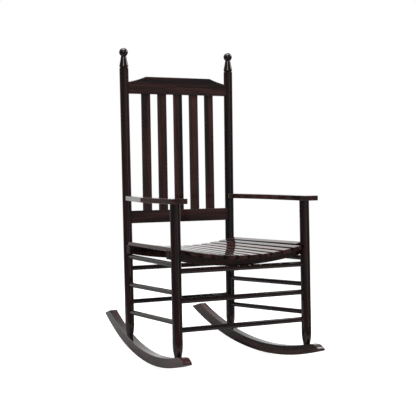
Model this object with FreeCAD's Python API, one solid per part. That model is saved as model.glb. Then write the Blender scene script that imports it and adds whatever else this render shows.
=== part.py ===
"""Slat-back rocking chair with turned posts and a dished slatted seat.

Everything is drawn in the chair's own square frame: X across, Y from the front
leg axis towards the back, Z up from the lowest point of the rocker curve.  The
finished pieces are then rolled back together on the rockers to the angle at
which the chair balances, and moved so the floor is Z = 0 and the bounding box
is centred on X = 0, Y = 0.  The chair faces -Y.
"""
import FreeCAD, Part
import math
import os

V = FreeCAD.Vector
LEFT, RIGHT = -1, 1
SIDES = (("left", LEFT), ("right", RIGHT))

# ---- driving dimensions, millimetres and degrees -------------------------
# frame
LEG_X = 269.0                 # front leg axis, half spacing
LEG_RAKE = 3.6 / 546.0        # front leg leans back, mm per mm of height
POST_Y = 474.6                # back post axis behind the front leg axis
POST_X = 228.4                # back post axis, half spacing at POST_X_AT
POST_X_AT = 635.0
POST_SPLAY = 0.0057           # posts spread towards the top
LEG_R = 18.0
POST_R = 17.4
FOOT_R = 12.0
FOOT_LEN = 48.0
FOOT_TENON_R = 9.0
FOOT_TENON_LEN = 18.0
# rockers
ROCKER_R = 1060.0
ROCKER_Y = 206.0              # lowest point of the rocker curve
ROCKER_X = 249.2              # rocker centre plane there, half spacing
ROCKER_TOE = 5.37             # rockers converge towards the back
ROCKER_W = 32.0
ROCKER_H_NOSE = 33.8           # depth of the plank where the nose curve starts
ROCKER_H_TAIL = 41.0
ROCKER_EDGE_R = 1.5
NOSE_ANGLE = -16.02
TAIL_ANGLE = 29.55
TAIL_TOP_ANGLE = 27.15
# nose curve, degrees along the rocker from the tip and height above its sole
NOSE_CURVE = ((3.10, 33.8), (1.97, 31.4), (1.09, 26.0), (0.40, 15.9), (0.0, 2.5))
# armrests
ARM_T = 18.4
ARM_TOP_FRONT = 604.7         # top face above the front leg axis
ARM_SLOPE = 0.0180            # top face rises towards the back
ARM_FRONT_Y = -38.5
ARM_OUT = 302.5
ARM_IN = 241.0
ARM_BEND_Y = 205.0            # sides are parallel up to here, then draw in
ARM_TAIL_R = 18.0
ARM_TENON_R = 10.0
ARM_TENON_LEN = 11.0
# back
RAIL_T = 18.0
CREST = dict(bottom=1003.7, top=1071.0, flat_x=142.0)
CREST_SHOULDER = ((142.0, 1071.0), (176.0, 1059.1), (213.0, 1049.9), (225.0, 1047.6))
LOWER = dict(bottom=506.3, top=554.8)
RAIL_INSET = 8.0              # how far short of the post axis a back rail ends
BACK_SLATS = 5
BACK_SLAT_W = 36.0
BACK_SLAT_T = 12.0
BACK_SLAT_SET = 1.8            # slats sit a little behind the middle of the rails
BACK_SLAT_PITCH = 69.8
BACK_SLAT_TENON = 12.0
# finial on each post, (radius, height)
FINIAL_BASE = 1103.0          # floor of the groove under the finial
FINIAL_LEDGE = 2.4            # sloping shoulder below the groove
POST_TOP = 1177.5
FINIAL_BALL_Z = 1161.5
FINIAL_BALL_R = 17.0
FINIAL_NECK_Z = 1144.6
FINIAL_NECK_R = 11.3
# seat
SEAT_SLATS = 12
SLAT_W = 32.0
SLAT_T = 14.0
SLAT_EDGE_R = 2.8
SEAT_FRONT = dict(y=-38.0, pitch=47.5, low=400.2, radius=1165.0)
SEAT_BACK = dict(y=456.2, pitch=40.0, low=412.6, radius=1110.0)
SEAT_NOSE_Y = -44.0           # front ends of the middle slats
SEAT_BOW = 13.0               # the front ends fall back this much towards the sides
# rounding over a slat's front end: distance back from it and drop of the top face
SLAT_NOSE = ((0.0, 2.4), (0.5, 1.3), (1.3, 0.5), (2.6, 0.0))
OUTER_SLAT_FRONT_Y = 21.6     # the two outer slats stop behind the front legs
FRONT_RAIL = dict(y0=17.5, y1=43.0, height=27.6, half=286.0)
RAIL_LIP = 1.2                # the slats are let this far into the seat rails
BACK_RAIL = dict(y0=431.0, y1=458.4, height=31.0, half=241.0)
# turned stretchers: (height at the front, height at the back)
SIDE_RUNG_R = 8.9
FRONT_RUNG_R = 9.4
BACK_RUNG_R = 8.8
RUNG_DEPTH = 14.0             # how deep a rung sits in a leg
SIDE_RUNGS = (("upper", 374.8, 380.3), ("middle", 278.3, 271.4), ("lower", 175.0, 166.0))
FRONT_RUNGS = (("upper", 353.3), ("middle", 250.3), ("lower", 149.2))
BACK_RUNGS = (("upper", 333.8), ("lower", 205.0))
# hardware
BOLT_R = 3.0
BOLT_HEAD_R = 6.0
BOLT_HEAD_H = 4.0
SCREW_R = 1.75
SCREW_HEAD_R = 3.6
SCREW_HEAD_H = 2.2
# fits
GLUE = 0.1                    # clearance around glued or driven pieces
END_GAP = 0.6                 # room at the bottom of a blind hole
TOUCH = 0.05                  # gap between faces that bear on each other


# ---- axes ----------------------------------------------------------------
def leg_at(side, z):
    return V(side * LEG_X, LEG_RAKE * (z - 20.0), z)


def post_at(side, z):
    return V(side * (POST_X + POST_SPLAY * (z - POST_X_AT)), POST_Y, z)


def arm_top(y):
    return ARM_TOP_FRONT + ARM_SLOPE * y


def rocker_top(y):
    """Height of a rocker's upper face at a distance along the chair."""
    top = rocker_top_arc().toShape().Curve
    s = (y - ROCKER_Y) / math.cos(math.radians(ROCKER_TOE)) - top.Center.y
    return top.Center.z - math.sqrt(top.Radius ** 2 - s ** 2)


# ---- small builders ------------------------------------------------------
def along(shape, start, end):
    """Move a shape built up the Z axis so it starts at one point and aims at another."""
    turn = FreeCAD.Rotation(V(0, 0, 1), end.sub(start))
    shape.Placement = FreeCAD.Placement(start, turn)
    return shape


def rod(start, end, radius, chamfer=0.0):
    length = end.sub(start).Length
    solid = Part.makeCylinder(radius, length)
    if chamfer:
        rims = [e for e in solid.Edges if isinstance(e.Curve, Part.Circle)]
        solid = solid.makeChamfer(chamfer, rims)
    return along(solid, start, end)


def curve_through(points, leave=None, arrive=None):
    """Smooth curve through points, with the directions at its ends if given."""
    curve = Part.BSplineCurve()
    if leave:
        curve.interpolate(Points=points, InitialTangent=leave, FinalTangent=arrive)
    else:
        curve.interpolate(points)
    return curve.toShape()


def turned(pieces):
    """Revolve an outline made of pieces, each a list of (radius, height) points.

    Two points make a straight side and more make a smooth curve.
    """
    edges = []
    for piece in pieces:
        points = [V(r, 0, z) for r, z in piece]
        if len(points) == 2:
            edges.append(Part.makeLine(points[0], points[1]))
        else:
            edges.append(curve_through(points))
    first, last = pieces[0][0], pieces[-1][-1]
    if last[0] > 0:
        edges.append(Part.makeLine(V(last[0], 0, last[1]), V(0, 0, last[1])))
    edges.append(Part.makeLine(V(0, 0, last[1]), V(0, 0, first[1])))
    if first[0] > 0:
        edges.append(Part.makeLine(V(0, 0, first[1]), V(first[0], 0, first[1])))
    face = Part.Face(Part.Wire(Part.__sortEdges__(edges)))
    return face.revolve(V(0, 0, 0), V(0, 0, 1), 360)


def fillet_where(solid, radius, chosen):
    edges = [e for e in solid.Edges if chosen(e)]
    return solid.makeFillet(radius, edges)


def middle(edge):
    return edge.valueAt(0.5 * (edge.FirstParameter + edge.LastParameter))


def mirrored(solid):
    return solid.mirror(V(0, 0, 0), V(1, 0, 0))


# ---- rockers -------------------------------------------------------------
def on_rocker(angle, height):
    """A point in the rocker's own plane, at a height above its sole."""
    a = math.radians(angle)
    r = ROCKER_R - height
    return V(0, r * math.sin(a), ROCKER_R - r * math.cos(a))


def rocker_top_arc(grow=0.0):
    """Upper edge of the plank, which deepens a little towards the tail."""
    start = NOSE_ANGLE + NOSE_CURVE[0][0]
    return Part.Arc(on_rocker(TAIL_TOP_ANGLE, ROCKER_H_TAIL + grow),
                    on_rocker(0.5 * (start + TAIL_TOP_ANGLE), 0.5 * (ROCKER_H_NOSE + ROCKER_H_TAIL) + grow),
                    on_rocker(start, ROCKER_H_NOSE + grow))


def rocker_blank(side, grow=0.0):
    """The bent plank before its mortises; grow lifts its upper face."""
    nose = [on_rocker(NOSE_ANGLE + a, h + (grow if i == 0 else 0.0))
            for i, (a, h) in enumerate(NOSE_CURVE)]
    mid = 0.5 * (NOSE_ANGLE + TAIL_ANGLE)
    sole = Part.Arc(on_rocker(NOSE_ANGLE, 0), on_rocker(mid, 0), on_rocker(TAIL_ANGLE, 0))
    top = rocker_top_arc(grow)
    inward = (top.toShape().Curve.Center - nose[0]).normalize()
    forward = V(0, -inward.z, inward.y)
    down = (on_rocker(NOSE_ANGLE, 0) - on_rocker(NOSE_ANGLE, 1)).normalize()
    edges = [
        sole.toShape(),
        Part.makeLine(on_rocker(TAIL_ANGLE, 0), on_rocker(TAIL_TOP_ANGLE, ROCKER_H_TAIL + grow)),
        top.toShape(),
        curve_through(nose, forward, down),
        Part.makeLine(nose[-1], on_rocker(NOSE_ANGLE, 0)),
    ]
    face = Part.Face(Part.Wire(Part.__sortEdges__(edges)))
    face.translate(V(-ROCKER_W / 2, 0, 0))
    plank = face.extrude(V(ROCKER_W, 0, 0))
    if not grow:
        plank = fillet_where(plank, ROCKER_EDGE_R, is_rocker_arris)
    plank.rotate(V(0, 0, 0), V(0, 0, 1), side * ROCKER_TOE)
    plank.translate(V(side * ROCKER_X, ROCKER_Y, 0))
    return plank


def is_rocker_arris(edge):
    """The edges round the outline of the plank's two side faces."""
    return abs(abs(middle(edge).x) - ROCKER_W / 2) < 0.01


# ---- legs and posts ------------------------------------------------------
def foot_outline(foot_z, radius):
    """Tapered foot from well inside the rocker up to the full leg."""
    r = FOOT_R
    return [
        [(r, foot_z - 20.0), (r, foot_z)],
        [(r, foot_z), (r + 0.42 * (radius - r), foot_z + 0.25 * FOOT_LEN),
         (r + 0.76 * (radius - r), foot_z + 0.5 * FOOT_LEN),
         (r + 0.96 * (radius - r), foot_z + 0.8 * FOOT_LEN), (radius, foot_z + FOOT_LEN)],
    ]


def finial_outline():
    """Groove, waisted cone, neck and ball, ending on the axis."""
    r = POST_R
    base = FINIAL_BASE
    ball = []
    start = math.degrees(math.asin(FINIAL_NECK_R / FINIAL_BALL_R * 0.93))
    for i in range(9):
        a = math.radians(180.0 - start - i * (180.0 - start) / 8.0)
        ball.append((max(0.0, FINIAL_BALL_R * math.sin(a)), FINIAL_BALL_Z + FINIAL_BALL_R * math.cos(a)))
    ball[-1] = (0.0, POST_TOP)
    neck = [(FINIAL_NECK_R, FINIAL_NECK_Z - 2.0), (FINIAL_NECK_R - 0.9, FINIAL_NECK_Z + 0.6), ball[0]]
    return [
        [(r, base - FINIAL_LEDGE), (r - FINIAL_LEDGE, base)],
        [(r - FINIAL_LEDGE, base), (r - FINIAL_LEDGE, base + 1.8)],
        [(r - FINIAL_LEDGE, base + 1.8), (r - 0.6, base + 3.0), (r, base + 5.2)],
        [(r, base + 5.2), (r - 0.4, base + 9.0)],
        [(r - 0.4, base + 9.0), (r - 2.0, base + 17.0), (r - 4.2, base + 28.0),
         (FINIAL_NECK_R, FINIAL_NECK_Z - 2.0)],
        neck,
        ball,
    ]


def rung_holes(side, is_post):
    """Blind holes in one leg or post for the ends of its rungs."""
    holes = []
    axis, leg_r = (post_at, POST_R) if is_post else (leg_at, LEG_R)
    for _, z_front, z_back in SIDE_RUNGS:
        ends = [leg_at(side, z_front), post_at(side, z_back)]
        if is_post:
            ends.reverse()
        holes.append(rung_hole(ends[0], ends[1], leg_r, SIDE_RUNG_R))
    cross_r = BACK_RUNG_R if is_post else FRONT_RUNG_R
    for _, z in (BACK_RUNGS if is_post else FRONT_RUNGS):
        holes.append(rung_hole(axis(side, z), axis(-side, z), leg_r, cross_r))
    return holes


def rung_hole(near, far, leg_r, rung_r):
    aim = far.sub(near).normalize()
    start = near + aim * (leg_r - RUNG_DEPTH - END_GAP)
    return rod(start, near + aim * (leg_r + 12.0), rung_r + GLUE)


def front_leg(side):
    foot = leg_at(side, rocker_top(0.0))
    top = leg_at(side, arm_top(0.0) - ARM_T)
    outline = foot_outline(0.0, LEG_R)
    outline.append([(LEG_R, FOOT_LEN), (LEG_R, top.sub(foot).Length + 4.0)])
    leg = along(turned(outline), foot, top)
    leg = leg.cut([arm_slab(side, TOUCH), rocker_blank(side, TOUCH)])
    leg = leg.fuse(rod(leg_at(side, top.z - 6.0), arm_tenon_end(side), ARM_TENON_R))
    leg = leg.fuse(rod(foot_tenon_end(side, False), foot, FOOT_TENON_R, 1.0))
    leg = leg.cut(rung_holes(side, False) + [seat_bolt_hole(side, True)])
    return leg.removeSplitter()


def arm_tenon_end(side):
    return leg_at(side, arm_top(0.0) - ARM_T + ARM_TENON_LEN)


def foot_tenon_end(side, is_post):
    axis, y = (post_at, POST_Y) if is_post else (leg_at, 0.0)
    return axis(side, rocker_top(y) - FOOT_TENON_LEN)


def back_post(side):
    foot = post_at(side, rocker_top(POST_Y))
    top = post_at(side, POST_TOP)
    stretch = top.sub(foot).Length / (POST_TOP - foot.z)
    outline = foot_outline(foot.z, POST_R)
    outline.append([(POST_R, foot.z + FOOT_LEN), (POST_R, FINIAL_BASE - FINIAL_LEDGE)])
    outline += finial_outline()
    outline = [[(r, (z - foot.z) * stretch) for r, z in piece] for piece in outline]
    post = along(turned(outline), foot, top)
    post = post.cut([rocker_blank(side, TOUCH)])
    post = post.fuse(rod(foot_tenon_end(side, True), foot + V(0, 0, 4), FOOT_TENON_R, 1.0))
    tools = rung_holes(side, True) + [crest_blank(GLUE), lower_blank(GLUE)]
    tools += [seat_bolt_hole(side, False), arm_bolt_hole(side)]
    return post.cut(tools).removeSplitter()


def rocker(side):
    tools = []
    for is_post in (False, True):
        axis, y = (post_at, POST_Y) if is_post else (leg_at, 0.0)
        end = foot_tenon_end(side, is_post)
        bottom = axis(side, end.z - END_GAP)
        tools.append(rod(bottom, axis(side, rocker_top(y) + 30.0), FOOT_TENON_R + GLUE))
    return rocker_blank(side).cut(tools).removeSplitter()


# ---- armrests ------------------------------------------------------------
def arm_outline(side):
    """Plan of an armrest: square front, narrowing to a round tail at the post."""
    tail_x = post_at(side, arm_top(POST_Y)).x * side
    tail_y = POST_Y - POST_R - ARM_TAIL_R + 6.0
    return [
        V(ARM_IN, ARM_FRONT_Y, 0), V(ARM_OUT, ARM_FRONT_Y, 0),
        V(ARM_OUT, ARM_BEND_Y, 0), V(tail_x + ARM_TAIL_R, tail_y, 0),
        V(tail_x, tail_y + ARM_TAIL_R + 2.0, 0),
        V(tail_x - ARM_TAIL_R, tail_y, 0), V(ARM_IN, ARM_BEND_Y, 0),
    ]


def arm_blank():
    """Right armrest plank with its edges rounded over, lying flat at Z = 0."""
    p = arm_outline(RIGHT)
    edges = [
        Part.makeLine(p[0], p[1]),
        Part.makeLine(p[1], p[2]),
        Part.makeLine(p[2], p[3]),
        Part.Arc(p[3], p[4], p[5]).toShape(),
        Part.makeLine(p[5], p[6]),
        Part.makeLine(p[6], p[0]),
    ]
    plank = Part.Face(Part.Wire(Part.__sortEdges__(edges))).extrude(V(0, 0, ARM_T))
    corners = [e for e in plank.Edges
               if abs(e.Vertexes[0].Point.x - e.Vertexes[-1].Point.x) < 0.01
               and abs(middle(e).y - ARM_FRONT_Y) < 0.01 and abs(middle(e).z - ARM_T / 2) < 0.01]
    plank = plank.makeFillet(3.0, corners)
    rims = [e for e in plank.Edges if abs(middle(e).z) < 0.01 or abs(middle(e).z - ARM_T) < 0.01]
    return plank.makeFillet(2.0, rims)


def place_arm(plank, side):
    """Tilt an armrest drawn flat and lift it to its height."""
    plank.rotate(V(0, 0, 0), V(1, 0, 0), math.degrees(math.atan(ARM_SLOPE)))
    plank.translate(V(0, 0, ARM_TOP_FRONT - ARM_T))
    return plank if side == RIGHT else mirrored(plank)


def arm_slab(side, grow):
    """A plain block over the armrest's underside, used to trim the leg top."""
    slab = Part.makeBox(120, 120, 60, V(ARM_IN - 20, ARM_FRONT_Y - 20, -grow))
    return place_arm(slab, side)


def armrest(side):
    plank = place_arm(arm_blank(), side)
    socket_end = leg_at(side, arm_tenon_end(side).z + END_GAP)
    tools = [
        rod(leg_at(side, arm_top(0.0) - ARM_T - 8.0), socket_end, ARM_TENON_R + GLUE),
        rod(post_at(side, 560.0), post_at(side, 660.0), POST_R + TOUCH),
        arm_bolt_hole(side),
    ]
    return plank.cut(tools).removeSplitter()


def arm_bolt_line(side):
    """Head end and tip of the bolt through a post into the armrest."""
    z = arm_top(POST_Y) - ARM_T / 2
    x = post_at(side, z).x
    return V(x, POST_Y + POST_R, z), V(x, POST_Y - POST_R - 34.0, z)


def arm_bolt_hole(side):
    head, tip = arm_bolt_line(side)
    return bolt_hole(head, tip, 1.0)


# ---- back ----------------------------------------------------------------
def crest_blank(grow=0.0):
    """Crest rail with a flat top and hollow shoulders, ends inside the posts."""
    low = CREST["bottom"] - grow
    front = POST_Y - RAIL_T / 2 - grow
    right = [V(x, front, z + grow) for x, z in CREST_SHOULDER]
    left = [V(-p.x, front, p.z) for p in right]
    edges = [
        curve_through(right),
        Part.makeLine(right[-1], V(right[-1].x, front, low)),
        Part.makeLine(V(right[-1].x, front, low), V(left[-1].x, front, low)),
        Part.makeLine(V(left[-1].x, front, low), left[-1]),
        curve_through(left),
        Part.makeLine(left[0], right[0]),
    ]
    board = Part.Face(Part.Wire(Part.__sortEdges__(edges))).extrude(V(0, RAIL_T + 2 * grow, 0))
    end = post_at(RIGHT, CREST["bottom"]).x - RAIL_INSET + grow * 5
    return board.common(Part.makeBox(2 * end, 100, 200, V(-end, front - 40, low - 40)))


def lower_blank(grow=0.0):
    end = post_at(RIGHT, LOWER["top"]).x - RAIL_INSET + grow * 5
    return Part.makeBox(2 * end, RAIL_T + 2 * grow, LOWER["top"] - LOWER["bottom"] + 2 * grow,
                        V(-end, POST_Y - RAIL_T / 2 - grow, LOWER["bottom"] - grow))


def eased_rail(rail, radius):
    """Round the long edges of a back rail but leave its ends sharp."""
    ends = rail.BoundBox.XMax

    def is_long(edge):
        return abs(abs(middle(edge).x) - ends) > 1.0 and edge.Length > 20
    return fillet_where(rail, radius, is_long)


def back_slat_sections():
    for i in range(BACK_SLATS):
        yield i, (i - (BACK_SLATS - 1) / 2.0) * BACK_SLAT_PITCH


def back_slat_solid(x, grow=0.0):
    low = LOWER["top"] - BACK_SLAT_TENON - grow * 5
    high = CREST["bottom"] + BACK_SLAT_TENON + grow * 5
    w, t = BACK_SLAT_W + 2 * grow, BACK_SLAT_T + 2 * grow
    slat = Part.makeBox(w, t, high - low, V(x - w / 2, POST_Y + BACK_SLAT_SET - t / 2, low))
    return fillet_where(slat, 2.0 + grow, lambda e: e.Length > 100)


def back_rail(blank, radius):
    rail = eased_rail(blank, radius)
    return rail.cut([back_slat_solid(x, GLUE) for _, x in back_slat_sections()])


# ---- seat ----------------------------------------------------------------
def dish(end, x, drop=0.0):
    """Height of the seat surface at one end, less a drop square to it."""
    r = end["radius"]
    return end["low"] + r - math.sqrt((r + drop) ** 2 - x ** 2)


def slat_frame(end, index):
    """Centre of a slat's top at one end of the seat, and its tilt."""
    x = (index - (SEAT_SLATS - 1) / 2.0) * end["pitch"]
    return V(x, end["y"], dish(end, x)), math.asin(x / end["radius"])


def dish_at(y):
    """Lowest height and radius of the dish at a distance along the seat."""
    t = (y - SEAT_FRONT["y"]) / (SEAT_BACK["y"] - SEAT_FRONT["y"])
    low = SEAT_FRONT["low"] + t * (SEAT_BACK["low"] - SEAT_FRONT["low"])
    pitch = SEAT_FRONT["pitch"] + t * (SEAT_BACK["pitch"] - SEAT_FRONT["pitch"])
    rise = ((1 - t) * SEAT_FRONT["pitch"] ** 2 / SEAT_FRONT["radius"]
            + t * SEAT_BACK["pitch"] ** 2 / SEAT_BACK["radius"])
    return low, pitch ** 2 / rise


def slat_point(index, y, across, down):
    """A point in a slat: distance across its width and down from its top."""
    front, tilt_f = slat_frame(SEAT_FRONT, index)
    back, tilt_b = slat_frame(SEAT_BACK, index)
    t = (y - SEAT_FRONT["y"]) / (SEAT_BACK["y"] - SEAT_FRONT["y"])
    tilt = tilt_f + (tilt_b - tilt_f) * t
    centre = front + (back - front) * t
    out = V(math.cos(tilt), 0, math.sin(tilt))
    sink = V(math.sin(tilt), 0, -math.cos(tilt))
    return centre + out * across + sink * down


def slat_section(index, y, grow=0.0, drop=0.0):
    """Rounded rectangle across a slat, its top face lowered by a drop."""
    w, r = SLAT_W / 2 + grow, SLAT_EDGE_R
    top, low = drop - grow, SLAT_T + grow
    k = r * (1 - math.sqrt(0.5))
    corners = ((-w, top, 1, 1), (w, top, -1, 1), (w, low, -1, -1), (-w, low, 1, -1))
    edges = []
    ends = []
    for i, (x, d, sx, sd) in enumerate(corners):
        a = slat_point(index, y, x, d + sd * r)
        b = slat_point(index, y, x + sx * r, d)
        if i % 2:
            a, b = b, a
        edges.append(Part.Arc(a, slat_point(index, y, x + sx * k, d + sd * k), b).toShape())
        ends.append((a, b))
    for i in range(4):
        edges.append(Part.makeLine(ends[i][1], ends[(i + 1) % 4][0]))
    return Part.Wire(Part.__sortEdges__(edges))


def slat_front_y(index):
    """The middle slats reach furthest forward; the outer two stop behind the legs."""
    if index in (0, SEAT_SLATS - 1):
        return OUTER_SLAT_FRONT_Y
    off_centre = (index - (SEAT_SLATS - 1) / 2.0) / (SEAT_SLATS / 2.0 - 1.5)
    return SEAT_NOSE_Y + SEAT_BOW * off_centre ** 2


def slat_blank(index, grow=0.0):
    y = slat_front_y(index)
    sections = [slat_section(index, y + back, grow, drop) for back, drop in SLAT_NOSE]
    sections.append(slat_section(index, SEAT_BACK["y"], grow))
    return Part.makeLoft(sections, True, True)


def seat_slat(index):
    slat = slat_blank(index)
    return slat.cut([screw_hole(index, rail) for rail in (FRONT_RAIL, BACK_RAIL)])


def seat_rail(rail):
    """Curved bearer under the slats, trimmed to the legs or posts it bears on."""
    half, y0 = rail["half"], rail["y0"]
    depth = rail["y1"] - y0
    low, radius = dish_at(0.5 * (y0 + rail["y1"]))
    blank = Part.makeCylinder(radius + SLAT_T + rail["height"], depth)
    blank = blank.cut(Part.makeCylinder(radius + SLAT_T - RAIL_LIP, depth))
    blank.rotate(V(0, 0, 0), V(1, 0, 0), -90)
    blank.translate(V(0, y0, low + radius))
    window = Part.makeBox(2 * half, depth, 160, V(-half, y0, low - 80))
    blank = blank.common(window)
    tools = [slat_blank(i, TOUCH) for i in range(SEAT_SLATS)]
    for _, side in SIDES:
        front = rail is FRONT_RAIL
        axis, r = (leg_at, LEG_R) if front else (post_at, POST_R)
        tools.append(rod(axis(side, 300.0), axis(side, 500.0), r + TOUCH))
        tools.append(seat_bolt_hole(side, front))
    tools += [screw_hole(i, rail) for i in range(SEAT_SLATS)]
    return blank.cut(tools).removeSplitter()


def screw_line(index, rail):
    """Head end and tip of the screw driven up through a seat rail into a slat."""
    y = 0.5 * (rail["y0"] + rail["y1"])
    tip = slat_point(index, y, 0.0, 5.0)
    head = slat_point(index, y, 0.0, SLAT_T + rail["height"] - 4.0)
    return head, tip


def screw_hole(index, rail):
    head, tip = screw_line(index, rail)
    aim = tip.sub(head).normalize()
    shank = rod(head, tip + aim * END_GAP, SCREW_R + GLUE)
    return shank.fuse(rod(head - aim * 14.0, head + aim * SCREW_HEAD_H, SCREW_HEAD_R + GLUE))


def seat_bolt_line(side, front):
    """Head end and tip of a seat rail's bolt: from the rail into the front leg,
    or from behind the back post into the rail."""
    rail, axis = (FRONT_RAIL, leg_at) if front else (BACK_RAIL, post_at)
    x = axis(side, 405.0).x
    low, radius = dish_at(0.5 * (rail["y0"] + rail["y1"]))
    z = dish(dict(low=low, radius=radius), abs(x), SLAT_T + rail["height"] / 2)
    if front:
        return V(x, rail["y1"], z), V(x, rail["y0"] - 20.0, z)
    return V(x, POST_Y + POST_R, z), V(x, rail["y0"] + 6.0, z)


def seat_bolt_hole(side, front):
    head, tip = seat_bolt_line(side, front)
    return bolt_hole(head, tip, 0.5 if front else 1.0)


# ---- rungs ---------------------------------------------------------------
def rung(near, far, r_near, r_far, radius):
    aim = far.sub(near).normalize()
    start = near + aim * (r_near - RUNG_DEPTH)
    end = far - aim * (r_far - RUNG_DEPTH)
    return rod(start, end, radius, 0.8)


# ---- hardware ------------------------------------------------------------
def bolt_hole(head, tip, sunk):
    """Bore for a bolt, with a counterbore that lets its head in."""
    aim = tip.sub(head).normalize()
    mouth = head - aim * 8.0
    shank = rod(mouth, tip + aim * END_GAP, BOLT_R + GLUE)
    return shank.fuse(rod(mouth, head + aim * (BOLT_HEAD_H + sunk), BOLT_HEAD_R + GLUE))


def bolt(head, tip, sunk):
    """Round-headed bolt with a hexagon socket, its head sunk below the surface."""
    aim = tip.sub(head).normalize()
    seat = head + aim * (sunk + BOLT_HEAD_H)
    body = rod(seat - aim * BOLT_HEAD_H, seat, BOLT_HEAD_R, 0.8)
    body = body.fuse(rod(seat - aim * 1.0, tip, BOLT_R))
    hexagon = Part.makePolygon([V(2.3 * math.cos(math.radians(60 * i)),
                                  2.3 * math.sin(math.radians(60 * i)), 0) for i in range(7)])
    socket = along(Part.Face(hexagon).extrude(V(0, 0, 2.4)), seat - aim * BOLT_HEAD_H, tip)
    return body.cut(socket).removeSplitter()


def screw(head, tip):
    aim = tip.sub(head).normalize()
    body = rod(head, head + aim * (SCREW_HEAD_H - TOUCH), SCREW_HEAD_R, 0.5)
    body = body.fuse(rod(head + aim * 1.0, tip - aim * 4.0, SCREW_R))
    cone = Part.makeCone(SCREW_R, 0.3, 4.0)
    body = body.fuse(along(cone, tip - aim * 4.0, tip))
    slot_a = Part.makeBox(3.6, 0.9, 1.0, V(-1.8, -0.45, 0))
    slot_b = Part.makeBox(0.9, 3.6, 1.0, V(-0.45, -1.8, 0))
    cross = along(slot_a.fuse(slot_b), head, tip)
    return body.cut(cross).removeSplitter()


# ---- the whole chair -----------------------------------------------------
def pieces():
    out = {}
    for name, side in SIDES:
        out[name + "_rocker"] = rocker(side)
        out[name + "_front_leg"] = front_leg(side)
        out[name + "_back_post"] = back_post(side)
        out[name + "_armrest"] = armrest(side)
        for level, z_front, z_back in SIDE_RUNGS:
            out["%s_side_rung_%s" % (name, level)] = rung(
                leg_at(side, z_front), post_at(side, z_back), LEG_R, POST_R, SIDE_RUNG_R)
    for level, z in FRONT_RUNGS:
        ends = leg_at(LEFT, z), leg_at(RIGHT, z)
        out["front_rung_" + level] = rung(ends[0], ends[1], LEG_R, LEG_R, FRONT_RUNG_R)
    for level, z in BACK_RUNGS:
        ends = post_at(LEFT, z), post_at(RIGHT, z)
        out["back_rung_" + level] = rung(ends[0], ends[1], POST_R, POST_R, BACK_RUNG_R)
    out["crest_rail"] = back_rail(crest_blank(), 2.5)
    out["lower_back_rail"] = back_rail(lower_blank(), 2.5)
    for i, x in back_slat_sections():
        out["back_slat_%d" % (i + 1)] = back_slat_solid(x)
    out["front_seat_rail"] = seat_rail(FRONT_RAIL)
    out["rear_seat_rail"] = seat_rail(BACK_RAIL)
    for i in range(SEAT_SLATS):
        out["seat_slat_%d" % (i + 1)] = seat_slat(i)
    out["seat_slat_screws"] = Part.makeCompound(
        [screw(*screw_line(i, rail)) for rail in (FRONT_RAIL, BACK_RAIL) for i in range(SEAT_SLATS)])
    out["seat_rail_bolts"] = Part.makeCompound(
        [bolt(*seat_bolt_line(side, front), 0.5 if front else 1.0)
         for front in (True, False) for _, side in SIDES])
    out["armrest_bolts"] = Part.makeCompound([bolt(*arm_bolt_line(side), 1.0) for _, side in SIDES])
    return out


def centre_of_mass(shapes):
    volume = 0.0
    moment = V(0, 0, 0)
    for shape in shapes:
        for solid in shape.Solids:
            volume += solid.Volume
            moment += solid.CenterOfMass * solid.Volume
    return moment * (1.0 / volume)


def rest_lean(centre):
    """Angle the chair rolls back on its rockers until it balances."""
    cos_toe = math.cos(math.radians(ROCKER_TOE))
    low, high = 0.0, math.radians(25.0)
    for _ in range(60):
        lean = 0.5 * (low + high)
        a = math.atan(cos_toe * math.tan(lean))
        touch_y = ROCKER_Y + ROCKER_R * math.sin(a) * cos_toe
        touch_z = ROCKER_R * (1.0 - math.cos(a))
        arm = (centre.y - touch_y) * math.cos(lean) + (centre.z - touch_z) * math.sin(lean)
        if arm > 0:
            low = lean
        else:
            high = lean
    return lean


def main():
    os.makedirs("parts", exist_ok=True)
    chair = pieces()
    centre = centre_of_mass(chair.values())
    lean = math.degrees(rest_lean(centre))
    for shape in chair.values():
        shape.rotate(V(0, ROCKER_Y, ROCKER_R), V(1, 0, 0), -lean)
    everything = Part.makeCompound(list(chair.values()))
    box = everything.optimalBoundingBox(False)
    shift = V(-0.5 * (box.XMin + box.XMax), -0.5 * (box.YMin + box.YMax), -box.ZMin)
    for name, shape in chair.items():
        shape.translate(shift)
        shape.exportStep("parts/%s.step" % name)
        solids = shape.Solids
        print(name, len(solids), shape.isValid(), round(sum(s.Volume for s in solids) / 1000.0, 1))
    print("lean", round(lean, 3), "centre", centre, "shift", shift)
    print("size", box.XLength, box.YLength, box.ZLength)


main()
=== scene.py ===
"""Looks of the slat-back rocking chair: lacquered wood, steel fixings, floor, light and camera."""
import math

import bpy
import numpy as np
from mathutils import Matrix, Vector


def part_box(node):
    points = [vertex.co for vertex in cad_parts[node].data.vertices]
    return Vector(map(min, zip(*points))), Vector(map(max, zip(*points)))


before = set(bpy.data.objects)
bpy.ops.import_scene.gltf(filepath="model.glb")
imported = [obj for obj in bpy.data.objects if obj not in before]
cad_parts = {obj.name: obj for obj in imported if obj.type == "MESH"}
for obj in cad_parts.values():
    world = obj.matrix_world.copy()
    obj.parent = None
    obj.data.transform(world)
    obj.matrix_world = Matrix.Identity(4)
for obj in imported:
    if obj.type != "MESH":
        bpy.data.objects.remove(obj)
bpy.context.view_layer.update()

# ---- the chair, metres ----------------------------------------------------
ROCKER_RADIUS = 1.060

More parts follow.
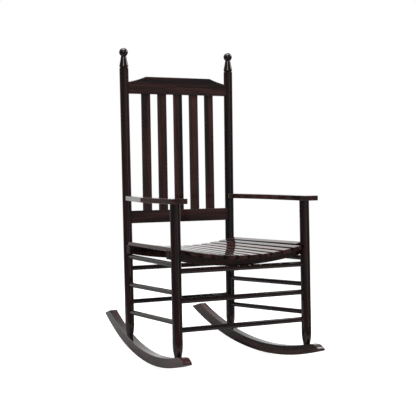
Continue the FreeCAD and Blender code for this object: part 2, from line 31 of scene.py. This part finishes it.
# ---- wood: its colours, each a dark and a light tone ----------------------
TURNED_STAIN = ((0.0026, 0.0015, 0.0019), (0.0320, 0.0082, 0.0080))   # legs and posts
RUNG_STAIN = ((0.0050, 0.0035, 0.0040), (0.0420, 0.0170, 0.0165))
BOARD_STAIN = ((0.0130, 0.0085, 0.0095), (0.0760, 0.0300, 0.0255))    # flat boards and slats
ROCKER_STAIN = ((0.0060, 0.0035, 0.0038), (0.0820, 0.0340, 0.0300))
STAIN_WORN = (0.0850, 0.0300, 0.0180)

# ---- wood: its patterns, each scale, detail, roughness, distortion --------
GRAIN_TONE = (26.0, 2.0, 0.5, 0.3)
GRAIN_STREAKS = (95.0, 3.0, 0.6, 0.5)
GRAIN_LINES = (420.0, 2.0, 0.6, 0.0)
PORES = (1500.0, 1.0, 0.5, 0.0)
WEAR_PATCHES = (55.0, 3.0, 0.6, 0.0)
TONE_SHARE, STREAK_SHARE, LINE_SHARE = 0.45, 0.40, 0.15
STAIN_RANGE = (0.38, 0.64)    # where the summed pattern is all dark and all light
GRAIN_STRETCH = 0.045         # how much slower the pattern changes along the grain
GRAIN_SHIFT = 4.0             # furthest that a piece's pattern is moved, each way

# ---- wood: its worn arrises -----------------------------------------------
EDGE_WEAR_REACH = 0.0016
EDGE_WEAR_COSINES = (0.995, 0.86)   # rounded against true normal: no wear, full wear
WEAR_PATCH_RANGE = (0.40, 0.70)
WEAR_AMOUNT = 0.55

# ---- wood: its lacquer ----------------------------------------------------
STAIN_ROUGHNESS = 0.5
COAT_ROUGHNESS = (0.035, 0.075)
COAT_IOR = 1.5
COAT_AT_RIM = 0.55            # how much of the sheen is left where a turned piece curves away
COAT_RIM_RANGE = (0.35, 0.85)       # how far it has curved away where that starts and is full
BUMP_STRENGTH = 0.05
BUMP_HEIGHT = 0.0004

# ---- steel ----------------------------------------------------------------
STEEL_COLOUR = (0.42, 0.41, 0.39, 1.0)
STEEL_ROUGHNESS = (0.28, 0.42)
STEEL_GRAIN_SCALE = 900.0

NOISE_RANGE = (0.3, 0.7)      # what a noise mostly stays within
WHITE = (1.0, 1.0, 1.0)
BLACK = (0.0, 0.0, 0.0)

# ---- camera ---------------------------------------------------------------
CAMERA_AT = (-2.0257, -3.5309, 1.1570)
CAMERA_AZIMUTH = 29.171       # from +Y towards +X
CAMERA_PITCH = 8.362          # below the horizon
CAMERA_ROLL = 2.948
SENSOR_WIDTH = 36.0
LENS = 94.577
LENS_SHIFT = (0.03256, -0.00033)

# ---- studio ---------------------------------------------------------------
FLOOR_RADIUS = 2.4
FLOOR_SIDES = 128
FLOOR_FADE = (0.9, 2.2)
FLOOR_TONE = 0.46             # kept down, because the lacquer reflects it
FLOOR_LIFT = 0.92             # light that only the picture gets, so the floor is nearly white in it
BACKDROP_AZIMUTH = 27.0
BACKDROP_EDGE = (0.52, 0.98)  # cosines where the backdrop's glow starts and is full
BACKDROP_GLOW = 1.15          # the mix stops it at 1, so the middle of the backdrop is even
ROOM_GLOW = 0.16
LAMPS = (
    # name, place, what it points at, width and height, watts
    ("overhead", (-0.3, 0.4, 3.1), (-0.1, 0.0, 0.4), (2.1, 2.1), 92.0),
    ("side", (1.80, 0.06, 2.08), (0.25, -0.33, 0.06), (1.3, 1.3), 25.0),
    ("key", (-2.9, -3.4, 3.7), (0.0, 0.0, 0.7), (1.8, 1.8), 55.0),
    ("strip", (1.05, -3.8, 1.3), (0.0, 0.0, 0.8), (0.55, 2.2), 4.6),
    ("front_fill", (-1.6, -4.2, 2.2), (0.0, 0.0, 0.5), (4.2, 3.6), 6.0),
)


class Graph:
    """Short calls for building a node tree from left to right."""

    def __init__(self, tree):
        self.tree = tree
        tree.nodes.clear()

    def add(self, kind, **settings):
        node = self.tree.nodes.new(kind)
        for key, value in settings.items():
            setattr(node, key, value)
        return node

    def feed(self, node, name, value):
        """Link an output into an input, or set the input to a constant."""
        if isinstance(value, bpy.types.NodeSocket):
            self.tree.links.new(value, node.inputs[name])
        else:
            node.inputs[name].default_value = value

    def place(self):
        return self.add("ShaderNodeTexCoord").outputs["Object"]

    def math(self, operation, a, b):
        node = self.add("ShaderNodeMath", operation=operation)
        self.feed(node, 0, a)
        self.feed(node, 1, b)
        return node.outputs[0]

    def vector(self, operation, a, b=(0.0, 0.0, 0.0)):
        node = self.add("ShaderNodeVectorMath", operation=operation)
        self.feed(node, 0, a)
        self.feed(node, 1, b)
        return node.outputs["Value" if operation in ("DOT_PRODUCT", "LENGTH") else "Vector"]

    def join(self, parts, offset=(0.0, 0.0, 0.0)):
        node = self.add("ShaderNodeCombineXYZ")
        for index, part in enumerate(parts):
            self.feed(node, index, part)
        return self.vector("ADD", node.outputs[0], offset)

    def noise(self, vector, scale, detail=2.0, roughness=0.5, distortion=0.0):
        node = self.add("ShaderNodeTexNoise")
        self.feed(node, "Vector", vector)
        self.feed(node, "Scale", scale)
        self.feed(node, "Detail", detail)
        self.feed(node, "Roughness", roughness)
        self.feed(node, "Distortion", distortion)
        return node.outputs[0]

    def remap(self, value, low, high, to_low=0.0, to_high=1.0):
        node = self.add("ShaderNodeMapRange", interpolation_type="SMOOTHSTEP")
        self.feed(node, "From Min", low)
        self.feed(node, "From Max", high)
        self.feed(node, "To Min", to_low)
        self.feed(node, "To Max", to_high)
        self.feed(node, "Value", value)
        return node.outputs[0]

    def mix(self, factor, a, b):
        """Mix two colours. The node's sockets share their names, so they go by number."""
        node = self.add("ShaderNodeMix", data_type="RGBA")
        for index, value in ((0, factor), (6, a), (7, b)):
            if isinstance(value, tuple):
                value = (*value, 1.0)
            self.feed(node, index, value)
        return node.outputs[2]

    def blend(self, factor, a, b):
        node = self.add("ShaderNodeMixShader")
        self.feed(node, 0, factor)
        self.feed(node, 1, a.outputs[0])
        self.feed(node, 2, b.outputs[0])
        return node

    def surface(self, shader, kind="ShaderNodeOutputMaterial"):
        self.feed(self.add(kind), "Surface", shader.outputs[0])


def new_material(name):
    material = bpy.data.materials.new(name)
    material.use_nodes = True
    return material, Graph(material.node_tree)


# ---- wood -----------------------------------------------------------------
def mesh_points(obj):
    points = np.zeros(len(obj.data.vertices) * 3)
    obj.data.vertices.foreach_get("co", points)
    return points.reshape(-1, 3)


def grain_axes(points):
    """Rotation whose rows are two directions across a piece and the one along it."""
    centred = points - points.mean(axis=0)
    _, _, rows = np.linalg.svd(centred, full_matrices=False)
    long_way = rows[0] * np.sign(rows[0][np.argmax(np.abs(rows[0]))])
    leans_over = abs(long_way[2]) < 0.7
    side = np.cross(long_way, (0.0, 0.0, 1.0) if leans_over else (0.0, 1.0, 0.0))
    side /= np.linalg.norm(side)
    return np.array([side, np.cross(long_way, side), long_way])


def straight_grain(graph, axes, offset):
    """Coordinates with Z along the grain, moved so that no two pieces match."""
    place = graph.place()
    rows = [tuple(float(v) for v in row) for row in axes]
    return graph.join([graph.vector("DOT_PRODUCT", place, row) for row in rows], offset)


def bent_grain(graph, centre, offset):
    """Coordinates with Z along a rocker's curve and Y out from its centre."""
    split = graph.add("ShaderNodeSeparateXYZ")
    graph.feed(split, 0, graph.vector("SUBTRACT", graph.place(), centre))
    x, y, z = split.outputs
    outward = graph.vector("LENGTH", graph.join([0.0, y, z]))
    turn = graph.math("ARCTAN2", y, graph.math("MULTIPLY", z, -1.0))
    return graph.join([x, outward, graph.math("MULTIPLY", turn, ROCKER_RADIUS)], offset)


def edge_mask(graph):
    """One along the arrises, nothing on the flats."""
    rounded = graph.add("ShaderNodeBevel", samples=4)
    graph.feed(rounded, "Radius", EDGE_WEAR_REACH)
    normal = graph.add("ShaderNodeNewGeometry").outputs["Normal"]
    agree = graph.vector("DOT_PRODUCT", rounded.outputs[0], normal)
    return graph.remap(agree, *EDGE_WEAR_COSINES)


def wood(name, coordinates, seed, stain):
    """Dark stained hardwood under a glossy lacquer."""
    material, graph = new_material(name)
    draws = np.random.default_rng(seed).uniform(-GRAIN_SHIFT, GRAIN_SHIFT, 3)
    place = coordinates(graph, tuple(float(v) for v in draws))
    along = graph.vector("MULTIPLY", place, (1.0, 1.0, GRAIN_STRETCH))
    lines = graph.noise(along, *GRAIN_LINES)
    pattern = graph.math(
        "ADD",
        graph.math("MULTIPLY", graph.noise(along, *GRAIN_TONE), TONE_SHARE),
        graph.math("MULTIPLY", graph.noise(along, *GRAIN_STREAKS), STREAK_SHARE),
    )
    pattern = graph.math("ADD", pattern, graph.math("MULTIPLY", lines, LINE_SHARE))
    colour = graph.mix(graph.remap(pattern, *STAIN_RANGE), *stain)
    patches = graph.remap(graph.noise(place, *WEAR_PATCHES), *WEAR_PATCH_RANGE)
    worn = graph.math("MULTIPLY", edge_mask(graph), patches)
    colour = graph.mix(graph.math("MULTIPLY", worn, WEAR_AMOUNT), colour, STAIN_WORN)

    shader = graph.add("ShaderNodeBsdfPrincipled")
    graph.feed(shader, "Base Color", colour)
    graph.feed(shader, "Roughness", STAIN_ROUGHNESS)
    graph.feed(shader, "Specular IOR Level", 0.0)
    coat = 1.0
    if stain in (TURNED_STAIN, RUNG_STAIN):
        away = graph.add("ShaderNodeLayerWeight").outputs["Facing"]
        coat = graph.remap(away, *COAT_RIM_RANGE, 1.0, COAT_AT_RIM)
    graph.feed(shader, "Coat Weight", coat)
    graph.feed(shader, "Coat Roughness", graph.remap(lines, *NOISE_RANGE, *COAT_ROUGHNESS))
    graph.feed(shader, "Coat IOR", COAT_IOR)
    bump = graph.add("ShaderNodeBump")
    graph.feed(bump, "Strength", BUMP_STRENGTH)
    graph.feed(bump, "Distance", BUMP_HEIGHT)
    graph.feed(bump, "Height", graph.math("ADD", graph.noise(along, *PORES), lines))
    graph.feed(shader, "Normal", bump.outputs[0])
    graph.feed(shader, "Coat Normal", bump.outputs[0])
    graph.surface(shader)
    return material


def steel():
    """Zinc-plated steel of the hidden bolts and screws."""
    material, graph = new_material("steel_hardware")
    grain = graph.noise(graph.place(), STEEL_GRAIN_SCALE)
    shader = graph.add("ShaderNodeBsdfPrincipled")
    graph.feed(shader, "Base Color", STEEL_COLOUR)
    graph.feed(shader, "Metallic", 1.0)
    graph.feed(shader, "Roughness", graph.remap(grain, *NOISE_RANGE, *STEEL_ROUGHNESS))
    graph.surface(shader)
    return material


def stain_of(name):
    if name.endswith("_rocker"):
        return ROCKER_STAIN
    if name.endswith(("_leg", "_post")):
        return TURNED_STAIN
    return RUNG_STAIN if "_rung_" in name else BOARD_STAIN


def grain_of(name, piece):
    """The call that lays out a piece's grain: bent along a rocker, straight along the rest."""
    if name.endswith("_rocker"):
        low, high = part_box(name)
        centre = (0.0, 0.5 * (low.y + high.y), ROCKER_RADIUS)
        return lambda graph, offset: bent_grain(graph, centre, offset)
    axes = grain_axes(mesh_points(piece))
    return lambda graph, offset: straight_grain(graph, axes, offset)


def finish_pieces():
    metal = steel()
    for index, (name, piece) in enumerate(sorted(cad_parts.items())):
        if name.endswith(("_screws", "_bolts")):
            finish = metal
        else:
            finish = wood("wood_" + name, grain_of(name, piece), index, stain_of(name))
        piece.data.materials.clear()
        piece.data.materials.append(finish)


# ---- studio ---------------------------------------------------------------
def make_floor():
    """A pale disc that fades into the white background before its rim shows."""
    bpy.ops.mesh.primitive_circle_add(vertices=FLOOR_SIDES, radius=FLOOR_RADIUS, fill_type="NGON")
    floor = bpy.context.object
    floor.name = "floor"
    material, graph = new_material("floor")
    fade = graph.remap(graph.vector("LENGTH", graph.place()), *FLOOR_FADE)
    paper = graph.add("ShaderNodeBsdfPrincipled")
    graph.feed(paper, "Base Color", (FLOOR_TONE, FLOOR_TONE, FLOOR_TONE, 1.0))
    graph.feed(paper, "Roughness", 1.0)
    graph.feed(paper, "Specular IOR Level", 0.0)
    graph.feed(paper, "Emission Color", (*WHITE, 1.0))
    pictured = graph.add("ShaderNodeLightPath").outputs["Is Camera Ray"]
    graph.feed(paper, "Emission Strength", graph.math("MULTIPLY", pictured, FLOOR_LIFT))
    graph.surface(graph.blend(fade, paper, graph.add("ShaderNodeBsdfTransparent")))
    floor.data.materials.append(material)


def make_world():
    """White to the eye; to the chair, a bright backdrop behind it and a dim room round it."""
    world = bpy.data.worlds.new("studio")
    world.use_nodes = True
    bpy.context.scene.world = world
    graph = Graph(world.node_tree)
    azimuth = math.radians(BACKDROP_AZIMUTH)
    look = graph.add("ShaderNodeTexCoord").outputs["Generated"]
    facing = graph.vector("DOT_PRODUCT", look, (math.sin(azimuth), math.cos(azimuth), 0.0))
    glow = graph.remap(facing, *BACKDROP_EDGE, ROOM_GLOW, BACKDROP_GLOW)
    light = graph.add("ShaderNodeBackground")
    graph.feed(light, "Color", graph.mix(glow, BLACK, WHITE))
    white = graph.add("ShaderNodeBackground")
    graph.feed(white, "Color", (*WHITE, 1.0))
    pictured = graph.add("ShaderNodeLightPath").outputs["Is Camera Ray"]
    graph.surface(graph.blend(pictured, light, white), "ShaderNodeOutputWorld")


def soft_box(name, place, aim, size, power):
    data = bpy.data.lights.new(name, "AREA")
    data.shape = "RECTANGLE"
    data.size, data.size_y = size
    data.energy = power
    lamp = bpy.data.objects.new(name, data)
    bpy.context.scene.collection.objects.link(lamp)
    lamp.location = place
    lamp.rotation_mode = "QUATERNION"
    lamp.rotation_quaternion = (Vector(aim) - Vector(place)).to_track_quat("-Z", "Y")


def make_camera():
    data = bpy.data.cameras.new("camera")
    data.sensor_width = SENSOR_WIDTH
    data.lens = LENS
    data.shift_x, data.shift_y = LENS_SHIFT
    camera = bpy.data.objects.new("camera", data)
    bpy.context.scene.collection.objects.link(camera)
    a, p, r = (math.radians(v) for v in (CAMERA_AZIMUTH, CAMERA_PITCH, CAMERA_ROLL))
    ahead = Vector((math.sin(a) * math.cos(p), math.cos(a) * math.cos(p), -math.sin(p)))
    level = Vector((math.cos(a), -math.sin(a), 0.0))
    upright = level.cross(ahead)
    right = level * math.cos(r) + upright * math.sin(r)
    up = upright * math.cos(r) - level * math.sin(r)
    turned = Matrix((right, up, -ahead)).transposed().to_4x4()
    camera.matrix_world = Matrix.Translation(CAMERA_AT) @ turned
    bpy.context.scene.camera = camera


finish_pieces()
make_floor()
make_world()
for lamp_row in LAMPS:
    soft_box(*lamp_row)
make_camera()
bpy.context.scene.view_settings.view_transform = "Standard"
